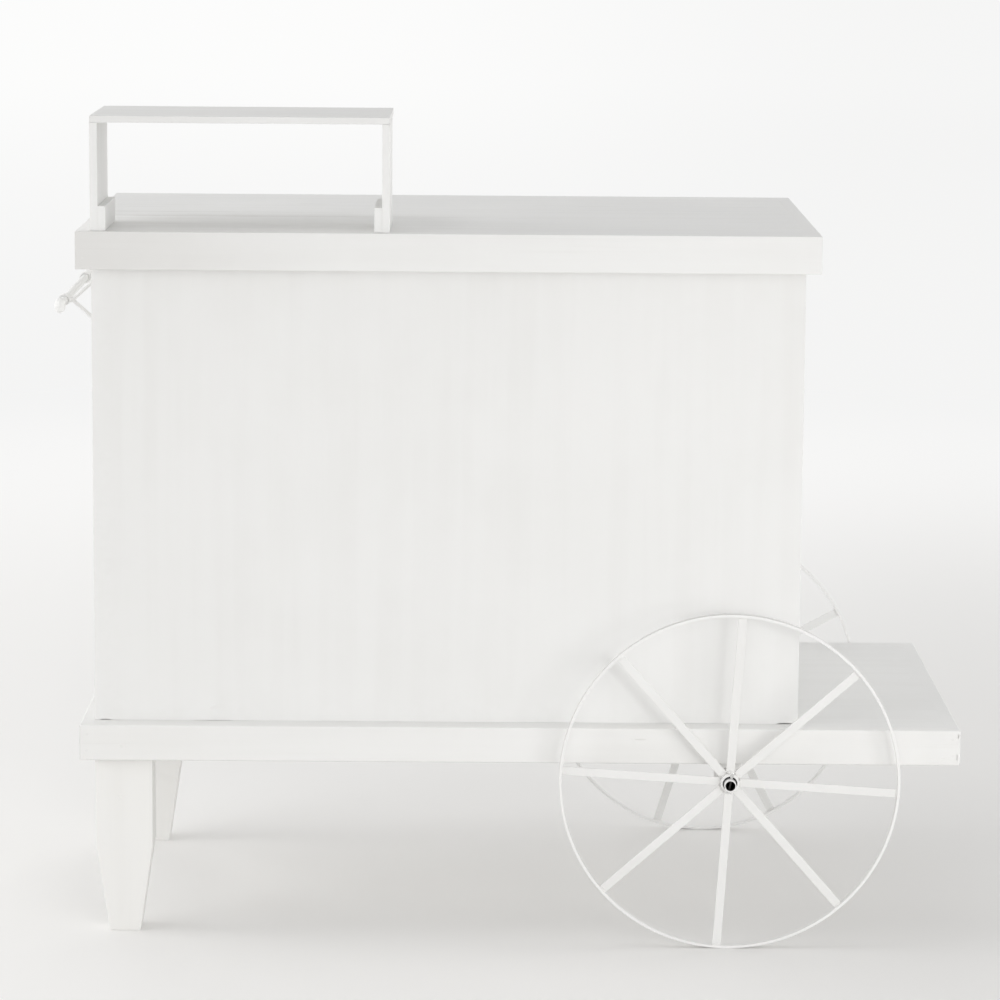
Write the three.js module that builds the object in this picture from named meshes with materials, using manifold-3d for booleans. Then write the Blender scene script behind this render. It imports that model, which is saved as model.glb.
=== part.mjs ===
// A wooden display cart, painted white: a cabinet under a planked counter, on a framed platform that
// stands on two tapered legs at one end and two spoked steel wheels at the other.
// Lengths are in millimetres and angles in degrees. +X runs along the cart from the legs to the wheels,
// +Y from the customer's side to the server's side, and +Z up from the floor.
// The origin lies on the floor, under the middle of the cart's box.

import * as THREE from "three";
import { mergeVertices } from "three/addons/utils/BufferGeometryUtils.js";
import Module from "manifold-3d";

const wasm = await Module();
wasm.setup();

// Clearances
const jointGap = 0.3; // between pieces that touch
const runningGap = 0.5; // at each end of a wheel's hub
const plankGap = 0.6; // between the planks of the counter
const cutOverrun = 5; // how far a cutting shape passes the faces that it cuts
const weldDistance = 0.0001; // corners closer than this are one corner

// Platform: a mitred frame of rails round two deck panels on beams
const platformTop = 327;
const platformMargin = 38; // in front of the cabinet and behind it
const displayDeckLength = 220.7; // past the cabinet
const railHeight = 54;
const railThickness = 20;
const deckThickness = 18;
const legBeamWidth = 60;
const deckBeamWidth = 60;
const axleBeamWidth = 70;

// Legs: straight, and then tapered on all four sides to a square foot
const legWidth = 86;
const legDepth = 60;
const footWidth = 46;
const taperHeight = 135;
const frontLegSetback = 15; // behind the inner face of the front rail

// Cabinet
const cabinetDepth = 600;
const wallThickness = 18;
const stileWidth = 60;
const topRailHeight = 70;
const shelfHeight = 340; // from the deck to the underside of the shelf
const shelfThickness = 18;
const grooveDepth = 6;

// Counter: a mitred apron round five planks
const counterLength = 1096;
const counterTop = 1065;
const counterOverhang = 36; // in front of the cabinet and behind it
const apronHeight = 56;
const apronThickness = 20;
const plankThickness = 18;
const plankCount = 5;

// Riser on the counter
const riserLength = 439;
const riserHeight = 168.5;
const riserShelfDepth = 232;
const riserShelfThickness = 10;
const riserPostDepth = 164;
const riserPostThickness = 11;
const riserCleatThickness = 11;
const riserCleatHeight = 36;
const riserLeftSetback = 22;
const riserFrontSetback = 8;

// Push handle on the end above the legs
const handleDrop = 120; // from the counter's top to the bar's centre line
const handleReach = 54; // from the cabinet's end to the bar's centre line
const handleLength = 476;
const handleRadius = 6;
const handleKnobRadius = 10;
const handleBracketInset = 78;
const bracketPlateThickness = 4;
const bracketPlateWidth = 24;
const bracketPlateHeight = 84;
const bracketEyeRadius = 9;
const bracketEyeWidth = 14;
const bracketArmRadius = 4;
const bracketForkReach = 12; // from the bar's centre line to where the arm forks
const bracketForkRadius = 3;

// Wheels
const wheelRadius = 254;
const wheelSetback = 105.5; // from the middle of the hub to the joint between the decks
const wheelStandoff = 32; // from a rail's face to the middle of the rim
const rimWidth = 12.7;
const rimThickness = 3.2;
const spokeWidth = 12.7;
const spokeThickness = 3.2;
const spokeCount = 8;
const hubLength = 26;
const hubRadius = 14;
const hubBoreRadius = 10.5;
const frontSpokeTurn = 3.6;
const backSpokeTurn = 17;

// Axle: a tube under the platform, with a welded collar behind each hub
const axleRadius = 9;
const axleBoreRadius = 7.2;
const axleEndLength = 10; // past the hub
const collarRadius = 13.5;
const collarWidth = 5;
const axleBracketWidth = 40;
const axleBracketLength = 44;
const axleBracketThickness = 5;
const axleBracketSetback = 4; // behind the rail

// Cotter pins
const pinRadius = 1.2;
const pinEyeRadius = 3.4;
const pinLegLength = 7;
const pinLegSpread = 40;
const pinTilt = 6;
const pinTailLength = 2.5; // from the tube to where the legs spread

// Counts of flats on round pieces
const rimSides = 72;
const roundSides = 32;
const smallSides = 16;
const kneeSides = 8;

// Places worked out from the sizes
const halfTurn = 180;
const mitreGap = jointGap * Math.SQRT2;
const deckBottom = platformTop - deckThickness;
const railBottom = platformTop - railHeight;
const beamHeight = deckBottom - railBottom - jointGap;
const cabinetLeft = apronThickness + jointGap;
const cabinetRight = counterLength - apronThickness - jointGap;
const cabinetFront = platformMargin;
const cabinetBack = cabinetFront + cabinetDepth;
const platformDepth = cabinetBack + platformMargin;
const displayLeft = cabinetRight + jointGap;
const platformLength = displayLeft + displayDeckLength + jointGap + railThickness;
const wallBottom = platformTop + jointGap;
const wallTop = counterTop - plankThickness - jointGap;
const shelfBottom = wallBottom + shelfHeight;
const counterFront = cabinetFront - counterOverhang;
const counterDepth = cabinetDepth + 2 * counterOverhang;
const wheelPlace = displayLeft - wheelSetback;
const axleHeight = wheelRadius - (hubBoreRadius - axleRadius - jointGap);
const handleX = cabinetLeft - handleReach;
const handleHeight = counterTop - handleDrop;
const cartLeft = Math.min(0, handleX - Math.max(handleKnobRadius, bracketEyeRadius));
const cartMiddle = (cartLeft + platformLength) / 2;

const whitePaint = { color: 0xecebe8, roughness: 0.62, metalness: 0 };
const whiteEnamel = { color: 0xf2f1ee, roughness: 0.42, metalness: 0.05 };
const zincPlate = { color: 0xb9bbbd, roughness: 0.35, metalness: 0.9 };

const xAxis = new THREE.Vector3(1, 0, 0);
const yAxis = new THREE.Vector3(0, 1, 0);
const zAxis = new THREE.Vector3(0, 0, 1);
const axesAlong = {
  x: new THREE.Matrix4().makeBasis(yAxis, zAxis, xAxis),
  y: new THREE.Matrix4().makeBasis(zAxis, xAxis, yAxis),
  z: new THREE.Matrix4().makeBasis(xAxis, yAxis, zAxis),
};

function radians(degrees) {
  return THREE.MathUtils.degToRad(degrees);
}

// A piece of the cart: a named mesh with a material of its own.
function piece(name, group, geometry, finish) {
  const mesh = new THREE.Mesh(geometry, new THREE.MeshStandardMaterial(finish));
  mesh.name = name;
  group.add(mesh);
  return mesh;
}

// A board between two corners.
function board(low, high) {
  const size = high.map((value, i) => value - low[i]);
  const middle = high.map((value, i) => (value + low[i]) / 2);
  return new THREE.BoxGeometry(...size).translate(...middle);
}

// An outline carried along an axis from start. Its points name the two axes that follow that axis in
// the order x, y, z, x, y: so (y, z) along x, (z, x) along y and (x, y) along z.
function carried(outline, axis, start, length) {
  const shape = new THREE.Shape(outline.map(([a, b]) => new THREE.Vector2(a, b)));
  const geometry = new THREE.ExtrudeGeometry(shape, { depth: length, bevelEnabled: false });
  return geometry.translate(0, 0, start).applyMatrix4(axesAlong[axis]);
}

// A closed profile of [radius, place] turned about the Y axis. Its flats, not its corners, lie on the
// stated radii.
function turned(profile, sides) {
  const reach = 1 / Math.cos(Math.PI / sides);
  const points = profile.map(([radius, place]) => new THREE.Vector2(radius * reach, place));
  points.push(points[0].clone());
  return new THREE.LatheGeometry(points, sides, Math.PI / sides);
}

// A round rod between two points.
function rod(from, to, radius, sides) {
  const start = new THREE.Vector3(...from);
  const run = new THREE.Vector3(...to).sub(start);
  const length = run.length();
  const turn = new THREE.Quaternion().setFromUnitVectors(yAxis, run.normalize());
  return new THREE.CylinderGeometry(radius, radius, length, sides)
    .translate(0, length / 2, 0)
    .applyQuaternion(turn)
    .translate(...from);
}

// The solid of a closed geometry, for joining and cutting.
function solid(geometry) {
  const bare = geometry.clone();
  bare.deleteAttribute("normal");
  bare.deleteAttribute("uv");
  const merged = mergeVertices(bare, weldDistance);
  return new wasm.Manifold(
    new wasm.Mesh({
      numProp: 3,
      vertProperties: merged.attributes.position.array,
      triVerts: new Uint32Array(merged.index.array),
    }),
  );
}

// The geometry of a solid.
function shaped(made) {
  const mesh = made.getMesh();
  const geometry = new THREE.BufferGeometry();
  geometry.setAttribute("position", new THREE.BufferAttribute(mesh.vertProperties, 3));
  geometry.setIndex(new THREE.BufferAttribute(mesh.triVerts, 1));
  const flat = geometry.toNonIndexed();
  flat.computeVertexNormals();
  return flat;
}

function joined(...geometries) {
  return shaped(geometries.map(solid).reduce((whole, part) => whole.add(part)));
}

function cut(geometry, ...tools) {
  return shaped(tools.map(solid).reduce((rest, tool) => rest.subtract(tool), solid(geometry)));
}

// Four mitred boards round a rectangle, from its front left corner.
function mitredFrame(group, name, kind, corner, length, depth, height, thickness) {
  const [left, front, bottom] = corner;
  const right = left + length;
  const back = front + depth;
  const innerLeft = left + thickness;
  const innerRight = right - thickness;
  const innerFront = front + thickness;
  const innerBack = back - thickness;
  const outlines = {
    front: [[left, front], [right, front], [innerRight, innerFront], [innerLeft, innerFront]],
    back: [[innerLeft, innerBack], [innerRight, innerBack], [right, back], [left, back]],
    left: [
      [left, front + mitreGap],
      [innerLeft, innerFront + mitreGap],
      [innerLeft, innerBack - mitreGap],
      [left, back - mitreGap],
    ],
    right: [
      [right, front + mitreGap],
      [right, back - mitreGap],
      [innerRight, innerBack - mitreGap],
      [innerRight, innerFront + mitreGap],
    ],
  };
  for (const [side, outline] of Object.entries(outlines)) {
    piece(`${name}_${side}_${kind}`, group, carried(outline, "z", bottom, height), whitePaint);
  }
}

function platform(group) {
  mitredFrame(
    group, "platform", "rail", [0, 0, railBottom],
    platformLength, platformDepth, railHeight, railThickness,
  );
  const inner = railThickness + jointGap;
  const innerBack = platformDepth - inner;
  const displayRight = displayLeft + displayDeckLength;
  const deck = board([inner, inner, deckBottom], [cabinetRight, innerBack, platformTop]);
  const displayDeck = board([displayLeft, inner, deckBottom], [displayRight, innerBack, platformTop]);
  piece("cabinet_deck", group, deck, whitePaint);
  piece("display_deck", group, displayDeck, whitePaint);

  const beamTop = railBottom + beamHeight;
  const crossBeam = (middle, width, front, back) =>
    board([middle - width / 2, front, railBottom], [middle + width / 2, back, beamTop]);
  const legMiddle = inner + legWidth / 2;
  const frontLegBack = inner + frontLegSetback + legDepth;
  const backLegFront = innerBack - legDepth;
  const legBeam = crossBeam(
    legMiddle, legBeamWidth, frontLegBack + jointGap, backLegFront - jointGap,
  );
  piece("leg_beam", group, legBeam, whitePaint);
  piece("axle_beam", group, crossBeam(wheelPlace, axleBeamWidth, inner, innerBack), whitePaint);
  piece("deck_beam", group, crossBeam(displayLeft, deckBeamWidth, inner, innerBack), whitePaint);
}

function legs(group) {
  const corner = Math.SQRT2 / 2;
  const top = deckBottom - jointGap;
  const profile = [
    [0, 0],
    [footWidth * corner, 0],
    [legWidth * corner, taperHeight],
    [legWidth * corner, top],
    [0, top],
  ].map(([radius, height]) => new THREE.Vector2(radius, height));
  const inner = railThickness + jointGap;
  const places = [
    ["front_leg", inner + frontLegSetback + legDepth / 2],
    ["back_leg", platformDepth - inner - legDepth / 2],
  ];
  for (const [name, place] of places) {
    const geometry = new THREE.LatheGeometry(profile, 4, radians(halfTurn / 4));
    geometry.applyMatrix4(axesAlong.x);
    const corners = geometry.attributes.position;
    for (let i = 0; i < corners.count; i += 1) {
      const narrowing = corners.getZ(i) > 0 ? legDepth / legWidth : 1;
      corners.setY(i, corners.getY(i) * narrowing);
    }
    geometry.translate(inner + legWidth / 2, place, 0);
    piece(name, group, geometry, whitePaint);
  }
}

function cabinet(group) {
  const frontPanelBack = cabinetFront + wallThickness;
  const frontPanel = board(
    [cabinetLeft, cabinetFront, wallBottom],
    [cabinetRight, frontPanelBack, wallTop],
  );
  piece("cabinet_front_panel", group, frontPanel, whitePaint);

  const sideFront = frontPanelBack + jointGap;
  const innerLeft = cabinetLeft + wallThickness;
  const innerRight = cabinetRight - wallThickness;
  const groove = board(
    [innerLeft - grooveDepth, sideFront - cutOverrun, shelfBottom - jointGap],
    [innerRight + grooveDepth, cabinetBack + cutOverrun, shelfBottom + shelfThickness + jointGap],
  );
  const sides = [
    ["cabinet_left_panel", cabinetLeft, innerLeft],
    ["cabinet_right_panel", innerRight, cabinetRight],
  ];
  for (const [name, low, high] of sides) {
    const side = board([low, sideFront, wallBottom], [high, cabinetBack, wallTop]);
    piece(name, group, cut(side, groove), whitePaint);
  }

  const stileFront = cabinetBack - wallThickness;
  const stiles = [
    ["cabinet_left_stile", innerLeft + jointGap],
    ["cabinet_right_stile", innerRight - jointGap - stileWidth],
  ];
  for (const [name, low] of stiles) {
    const stile = board([low, stileFront, wallBottom], [low + stileWidth, cabinetBack, wallTop]);
    piece(name, group, stile, whitePaint);
  }
  const railInset = stileWidth + 2 * jointGap;
  const topRail = board(
    [innerLeft + railInset, stileFront, wallTop - topRailHeight],
    [innerRight - railInset, cabinetBack, wallTop],
  );
  piece("cabinet_top_rail", group, topRail, whitePaint);

  const shelfReach = grooveDepth - jointGap;
  const shelf = board(
    [innerLeft - shelfReach, sideFront, shelfBottom],
    [innerRight + shelfReach, stileFront - jointGap, shelfBottom + shelfThickness],
  );
  piece("cabinet_shelf", group, shelf, whitePaint);
}

function counter(group) {
  mitredFrame(
    group, "counter", "apron", [0, counterFront, counterTop - apronHeight],
    counterLength, counterDepth, apronHeight, apronThickness,
  );
  const inset = apronThickness + jointGap;
  const plankPitch = (counterDepth - 2 * inset + plankGap) / plankCount;
  for (let i = 0; i < plankCount; i += 1) {
    const front = counterFront + inset + i * plankPitch;
    const plank = board(
      [inset, front, counterTop - plankThickness],
      [counterLength - inset, front + plankPitch - plankGap, counterTop],
    );
    piece(`counter_plank_${i + 1}`, group, plank, whitePaint);
  }
}

function riser(group) {
  const left = riserLeftSetback;
  const right = left + riserLength;
  const front = counterFront + riserFrontSetback;
  const bottom = counterTop + jointGap;
  const top = counterTop + riserHeight;
  const shelfUnderside = top - riserShelfThickness;
  const postBack = front + riserPostDepth;
  const shelf = board([left, front, shelfUnderside], [right, front + riserShelfDepth, top]);
  piece("riser_shelf", group, shelf, whitePaint);

  const postTop = shelfUnderside - jointGap;
  const cleatTop = bottom + riserCleatHeight;
  const innerLeft = left + riserPostThickness;
  const innerRight = right - riserPostThickness;
  const cleatLeft = innerLeft + jointGap;
  const cleatRight = innerRight - jointGap;
  const uprights = [
    ["riser_left_post", left, innerLeft, postTop],
    ["riser_right_post", innerRight, right, postTop],
    ["riser_left_cleat", cleatLeft, cleatLeft + riserCleatThickness, cleatTop],
    ["riser_right_cleat", cleatRight - riserCleatThickness, cleatRight, cleatTop],
  ];
  for (const [name, low, high, height] of uprights) {
    piece(name, group, board([low, front, bottom], [high, postBack, height]), whitePaint);
  }
}

function handle(group) {
  const middle = (cabinetFront + cabinetBack) / 2;
  const reach = handleLength / 2;
  const knobRun = Math.sqrt(handleKnobRadius ** 2 - handleRadius ** 2);
  const knobCentre = reach - handleKnobRadius;
  const knobStart = Math.asin(handleRadius / handleKnobRadius);
  const profile = [[0, -reach]];
  const arcAt = (turn) => [
    handleKnobRadius * Math.sin(turn),
    knobCentre + handleKnobRadius * Math.cos(turn),
  ];
  for (let i = 1; i <= kneeSides; i += 1) {
    const [radius, place] = arcAt((i / kneeSides) * (Math.PI - knobStart));
    profile.push([radius, -place]);
  }
  profile.push([handleRadius, -(knobCentre - knobRun)]);
  profile.push([handleRadius, knobCentre - knobRun]);
  for (let i = kneeSides; i >= 1; i -= 1) {
    profile.push(arcAt((i / kneeSides) * (Math.PI - knobStart)));
  }
  profile.push([0, reach]);
  const bar = piece("handle_bar", group, turned(profile, smallSides), whiteEnamel);
  bar.position.set(handleX, middle, handleHeight);

  const plateHigh = cabinetLeft - jointGap;
  const plateLow = plateHigh - bracketPlateThickness;
  const plateMiddle = (plateLow + plateHigh) / 2;
  const plateBottom = handleHeight - bracketPlateHeight / 2;
  const forkPlace = handleX + bracketForkReach;
  const forkRise = bracketPlateHeight / 2 - 2 * bracketForkRadius;
  for (const [name, side] of [["handle_front_bracket", -1], ["handle_back_bracket", 1]]) {
    const place = middle + side * (reach - handleBracketInset);
    const eyeFront = place - bracketEyeWidth / 2;
    const eye = turned(
      [[0, 0], [bracketEyeRadius, 0], [bracketEyeRadius, bracketEyeWidth], [0, bracketEyeWidth]],
      smallSides,
    ).translate(handleX, eyeFront, handleHeight);
    const bore = turned(
      [
        [0, -cutOverrun],
        [handleRadius + jointGap, -cutOverrun],
        [handleRadius + jointGap, bracketEyeWidth + cutOverrun],
        [0, bracketEyeWidth + cutOverrun],
      ],
      smallSides,
    ).translate(handleX, eyeFront, handleHeight);
    const plate = board(
      [plateLow, place - bracketPlateWidth / 2, plateBottom],
      [plateHigh, place + bracketPlateWidth / 2, plateBottom + bracketPlateHeight],
    );
    const armStart = [handleX, place, handleHeight];
    const armEnd = [forkPlace + bracketForkRadius, place, handleHeight];
    const arm = rod(armStart, armEnd, bracketArmRadius, smallSides);
    const prongs = [-forkRise, forkRise].map((rise) =>
      rod(
        [forkPlace, place, handleHeight],
        [plateMiddle, place, handleHeight + rise],
        bracketForkRadius,
        smallSides,
      ),
    );
    piece(name, group, cut(joined(plate, eye, arm, ...prongs), bore), whiteEnamel);
  }
}

// Places along the axle, from the middle of the platform's depth
const hubOuter = platformDepth / 2 + wheelStandoff + hubLength / 2;
const hubInner = hubOuter - hubLength;
const axleReach = hubOuter + axleEndLength;
const pinPlace = hubOuter + runningGap + pinRadius;

function axle(group) {
  const collarOuter = hubInner - runningGap;
  const collarInner = collarOuter - collarWidth;
  const tube = turned(
    [
      [axleBoreRadius, -axleReach],
      [axleRadius, -axleReach],
      [axleRadius, -collarOuter],
      [collarRadius, -collarOuter],
      [collarRadius, -collarInner],
      [axleRadius, -collarInner],
      [axleRadius, collarInner],
      [collarRadius, collarInner],
      [collarRadius, collarOuter],
      [axleRadius, collarOuter],
      [axleRadius, axleReach],
      [axleBoreRadius, axleReach],
    ],
    roundSides,
  );
  const holeReach = axleRadius + cutOverrun;
  const holes = [-pinPlace, pinPlace].map((place) =>
    rod([0, place, -holeReach], [0, place, holeReach], pinRadius + jointGap, smallSides)
      .rotateY(radians(pinTilt)),
  );
  const tubeMesh = piece("axle_tube", group, cut(tube, ...holes), whiteEnamel);
  tubeMesh.position.set(wheelPlace, platformDepth / 2, axleHeight);

  const setback = railThickness + axleBracketSetback;
  const webTop = railBottom - jointGap;
  const webBottom = axleHeight - axleBracketWidth / 2;
  for (const [name, face, side] of [
    ["axle_front_bracket", setback, 1],
    ["axle_back_bracket", platformDepth - setback, -1],
  ]) {
    const outline = [
      [face, axleHeight],
      [face + side * axleBracketThickness, axleHeight],
      [face + side * axleBracketThickness, webTop - axleBracketThickness],
      [face + side * axleBracketLength, webTop - axleBracketThickness],
      [face + side * axleBracketLength, webTop],
      [face, webTop],
    ];
    const angle = carried(outline, "x", wheelPlace - axleBracketWidth / 2, axleBracketWidth);
    const webFront = Math.min(face, face + side * axleBracketThickness);
    const disc = (radius, overrun) =>
      turned(
        [
          [0, -overrun],
          [radius, -overrun],
          [radius, axleBracketThickness + overrun],
          [0, axleBracketThickness + overrun],
        ],
        roundSides,
      ).translate(wheelPlace, webFront, axleHeight);
    const roundEnd = disc(axleHeight - webBottom, 0);
    const bore = disc(axleRadius + jointGap, cutOverrun);
    piece(name, group, cut(joined(angle, roundEnd), bore), whiteEnamel);
  }
}

// A split pin through the axle: an eye at one end, and two legs spread at the other.
function cotterPin(group, name, place) {
  const bend = -(axleRadius + pinTailLength);
  const eyeCentre = axleRadius + pinEyeRadius + pinRadius + jointGap;
  const shank = rod([0, 0, bend], [0, 0, eyeCentre - pinEyeRadius], pinRadius, smallSides);
  const eye = new THREE.TorusGeometry(pinEyeRadius, pinRadius, smallSides / 2, smallSides)
    .rotateX(radians(halfTurn / 2))
    .translate(0, 0, eyeCentre);
  const legRadius = pinRadius * Math.SQRT1_2;
  const legs = [-1, 1].map((side) => {
    const run = pinLegLength * Math.sin(radians(pinLegSpread));
    const drop = pinLegLength * Math.cos(radians(pinLegSpread));
    return rod([0, 0, bend + pinRadius], [side * run, 0, bend - drop], legRadius, smallSides);
  });
  const pin = piece(name, group, joined(shank, eye, ...legs), zincPlate);
  pin.position.set(wheelPlace, place, axleHeight);
  pin.rotation.y = radians(pinTilt);
}

function wheel(group, name, depth, firstTurn) {
  const whole = new THREE.Group();
  whole.position.set(wheelPlace, depth, wheelRadius);
  group.add(whole);
  const rimInner = wheelRadius - rimThickness;
  const rim = turned(
    [
      [rimInner, -rimWidth / 2],
      [wheelRadius, -rimWidth / 2],
      [wheelRadius, rimWidth / 2],
      [rimInner, rimWidth / 2],
    ],
    rimSides,
  );
  piece(`${name}_rim`, whole, rim, whiteEnamel);
  const hub = turned(
    [
      [hubBoreRadius, -hubLength / 2],
      [hubRadius, -hubLength / 2],
      [hubRadius, hubLength / 2],
      [hubBoreRadius, hubLength / 2],
    ],
    roundSides,
  );
  piece(`${name}_hub`, whole, hub, whiteEnamel);

  // A spoke's root follows the hub, and is mitred where the spokes beside it crowd in.
  const fit = hubRadius / Math.cos(Math.PI / roundSides) + jointGap;
  const mitreTurn = Math.PI / spokeCount - Math.asin(jointGap / 2 / fit);
  const rootTurn = Math.min(mitreTurn, Math.asin(spokeWidth / 2 / fit));
  const outline = [];
  for (let i = 0; i <= kneeSides; i += 1) {
    const turn = rootTurn * (1 - (2 * i) / kneeSides);
    outline.push([fit * Math.sin(turn), fit * Math.cos(turn)]);
  }
  if (rootTurn === mitreTurn) {
    const shoulder = spokeWidth / 2 / Math.tan(mitreTurn);
    outline.push([-spokeWidth / 2, shoulder]);
    outline.unshift([spokeWidth / 2, shoulder]);
  }
  outline.push([-spokeWidth / 2, rimInner - jointGap]);
  outline.push([spokeWidth / 2, rimInner - jointGap]);
  for (let i = 0; i < spokeCount; i += 1) {
    const geometry = carried(outline, "y", -spokeThickness / 2, spokeThickness);
    const spoke = piece(`${name}_spoke_${i + 1}`, whole, geometry, whiteEnamel);
    spoke.rotation.y = radians(firstTurn + (i * 2 * halfTurn) / spokeCount);
  }
}

const cart = new THREE.Group();
cart.position.set(-cartMiddle, -platformDepth / 2, 0);
platform(cart);
legs(cart);
cabinet(cart);
counter(cart);
riser(cart);
handle(cart);
axle(cart);
cotterPin(cart, "front_cotter_pin", platformDepth / 2 - pinPlace);
cotterPin(cart, "back_cotter_pin", platformDepth / 2 + pinPlace);
wheel(cart, "front_wheel", -wheelStandoff, frontSpokeTurn);
wheel(cart, "back_wheel", platformDepth + wheelStandoff, backSpokeTurn);

export default cart;
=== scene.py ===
"""A white-painted wooden display cart: cabinet, planked counter and riser on a framed platform with
tapered legs, a steel handle and two spoked steel wheels. Metres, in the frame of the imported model."""

import math

import bmesh
import bpy
from mathutils import Matrix, Vector


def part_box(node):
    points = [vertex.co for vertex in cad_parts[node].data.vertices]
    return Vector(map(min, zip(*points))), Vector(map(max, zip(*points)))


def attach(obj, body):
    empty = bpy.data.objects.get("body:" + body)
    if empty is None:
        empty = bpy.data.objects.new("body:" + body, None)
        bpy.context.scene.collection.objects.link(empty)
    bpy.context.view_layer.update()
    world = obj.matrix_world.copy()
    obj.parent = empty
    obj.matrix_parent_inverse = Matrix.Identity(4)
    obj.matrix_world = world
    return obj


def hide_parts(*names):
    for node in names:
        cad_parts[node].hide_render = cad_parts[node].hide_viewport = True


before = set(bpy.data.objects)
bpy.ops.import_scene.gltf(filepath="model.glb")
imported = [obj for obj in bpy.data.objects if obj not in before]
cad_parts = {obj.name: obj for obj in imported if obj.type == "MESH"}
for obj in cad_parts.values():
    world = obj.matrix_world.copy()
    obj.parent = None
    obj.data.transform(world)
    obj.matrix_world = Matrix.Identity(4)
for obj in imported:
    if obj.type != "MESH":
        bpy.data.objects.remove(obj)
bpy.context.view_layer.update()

mm = 0.001
X, Y, Z = 0, 1, 2
AXES = (Vector((1, 0, 0)), Vector((0, 1, 0)), Vector((0, 0, 1)))
SHARP = math.radians(33)

# Edges and surface of the painted wood
rail_ease = 3.0 * mm
apron_ease = 1.6 * mm
board_ease = 1.4 * mm
thin_ease = 0.8 * mm
joint_ease = 0.3 * mm
closed_ease = 0.15 * mm
cut_spacing = 45 * mm
unevenness = 0.25 * mm
wave_length = 110 * mm
mitre_lap = 0.2 * mm
deck_lap = (0.2 * mm, 0.15 * mm, 0)
panel_lap = (0, 0, 0.25 * mm)
plank_lap = (0.2 * mm, 0, 0)
riser_lap = (0.12 * mm, 0, 0.12 * mm)
same_point = 0.01 * mm
same_level = 0.1 * mm

# Legs
taper_height = 135 * mm
foot_width = 46 * mm
leg_cut_spacing = 50 * mm

# Wheels
wheel_radius = 254 * mm
rim_thickness = 4.0 * mm
spoke_width = 12.7 * mm
spoke_count = 8
first_spoke_turn = {"front_wheel": 3.6, "back_wheel": 17.0}
rim_steps = 160
steel_ease = 0.7 * mm

# Filled nail holes and screws
nail_radius = 2.0 * mm
plank_nail_radius = 1.8 * mm
riser_nail_radius = 1.6 * mm
nail_setback = 12 * mm
nail_proud = 0.05 * mm
nail_sunk = 0.4 * mm
nail_ease = 0.1 * mm
screw_radius = 3.6 * mm
screw_height = 1.6 * mm
recess_width, recess_length, recess_depth, recess_lift = 0.7 * mm, 2.6 * mm, 2 * mm, 0.2 * mm


# Ways of making

def deselect():
    bpy.ops.object.select_all(action="DESELECT")


def active():
    return bpy.context.view_layer.objects.active


def hold(*objects):
    """Selects these objects alone and makes the last one active."""
    deselect()
    for item in objects:
        item.select_set(True)
    bpy.context.view_layer.objects.active = objects[-1]


def settle(obj):
    """Puts an object's place, turn and scale into its mesh."""
    hold(obj)
    bpy.ops.object.transform_apply(location=True, rotation=True, scale=True)
    return obj


def in_edit(obj, kind="VERT"):
    """Opens an object for editing with nothing selected, and returns its mesh."""
    hold(obj)
    bpy.ops.object.mode_set(mode="EDIT")
    bpy.ops.mesh.select_mode(type=kind)
    bpy.ops.mesh.select_all(action="DESELECT")
    return bmesh.from_edit_mesh(obj.data)


def pick(obj, chosen):
    """Selects the vertices whose place passes the test."""
    mesh = bmesh.from_edit_mesh(obj.data)
    for vertex in mesh.verts:
        vertex.select = chosen(vertex.co)
    mesh.select_flush_mode()
    bmesh.update_edit_mesh(obj.data)


def out_of_edit():
    bpy.ops.object.mode_set(mode="OBJECT")


def add_block(low, high):
    """A block between two corners."""
    low, high = Vector(low), Vector(high)
    deselect()
    bpy.ops.mesh.primitive_cube_add(size=1, location=(low + high) / 2)
    block = active()
    block.scale = high - low
    return settle(block)


def add_round(centre, axis, radius, length, sides=32):
    """A round bar with its middle at centre."""
    deselect()
    turn = Vector((0, 0, 1)).rotation_difference(Vector(axis)).to_euler()
    bpy.ops.mesh.primitive_cylinder_add(
        vertices=sides, radius=radius, depth=length, location=centre, rotation=turn)
    return settle(active())


def pick_edges(obj, chosen):
    """Selects the edges whose two ends pass the test together."""
    mesh = bmesh.from_edit_mesh(obj.data)
    bpy.ops.mesh.select_mode(type="EDGE")
    bpy.ops.mesh.select_all(action="DESELECT")
    for edge in mesh.edges:
        edge.select_set(chosen(edge.verts[0].co, edge.verts[1].co))
    bmesh.update_edit_mesh(obj.data)


def cuts(obj, spacing=cut_spacing, along=None, margin=0.0):
    """Divides the long sides evenly, so that the surface can be uneven."""
    low = [min(corner[axis] for corner in obj.bound_box) for axis in range(3)]
    high = [max(corner[axis] for corner in obj.bound_box) for axis in range(3)]
    if along is not None:
        low[along] += margin
        high[along] -= margin
    in_edit(obj)
    for axis in range(3):
        count = round((high[axis] - low[axis]) / spacing)
        for step in range(1, count):
            bpy.ops.mesh.select_all(action="SELECT")
            bpy.ops.mesh.bisect(plane_co=AXES[axis] * (low[axis] + step * (high[axis] - low[axis]) / count),
                                plane_no=AXES[axis])
    out_of_edit()


def modified(obj, kind, **settings):
    """Adds one modifier and applies it."""
    hold(obj)
    modifier = obj.modifiers.new(kind.lower(), kind)
    for key, value in settings.items():
        setattr(modifier, key, value)
    bpy.ops.object.modifier_apply(modifier=modifier.name)
    return obj


def eased(obj, width, segments=3):
    """Rounds the sharp edges over."""
    return modified(obj, "BEVEL", width=width, segments=segments, limit_method="ANGLE",
                    angle_limit=SHARP, harden_normals=False, use_clamp_overlap=True)


wave = bpy.data.textures.new("hand-finished surface", "CLOUDS")
wave.noise_scale = wave_length
wave.noise_depth = 2


def uneven(obj, strength=unevenness):
    """The slight waves of a hand-finished surface."""
    return modified(obj, "DISPLACE", texture=wave, texture_coords="LOCAL", strength=strength,
                    mid_level=0.5)


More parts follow.
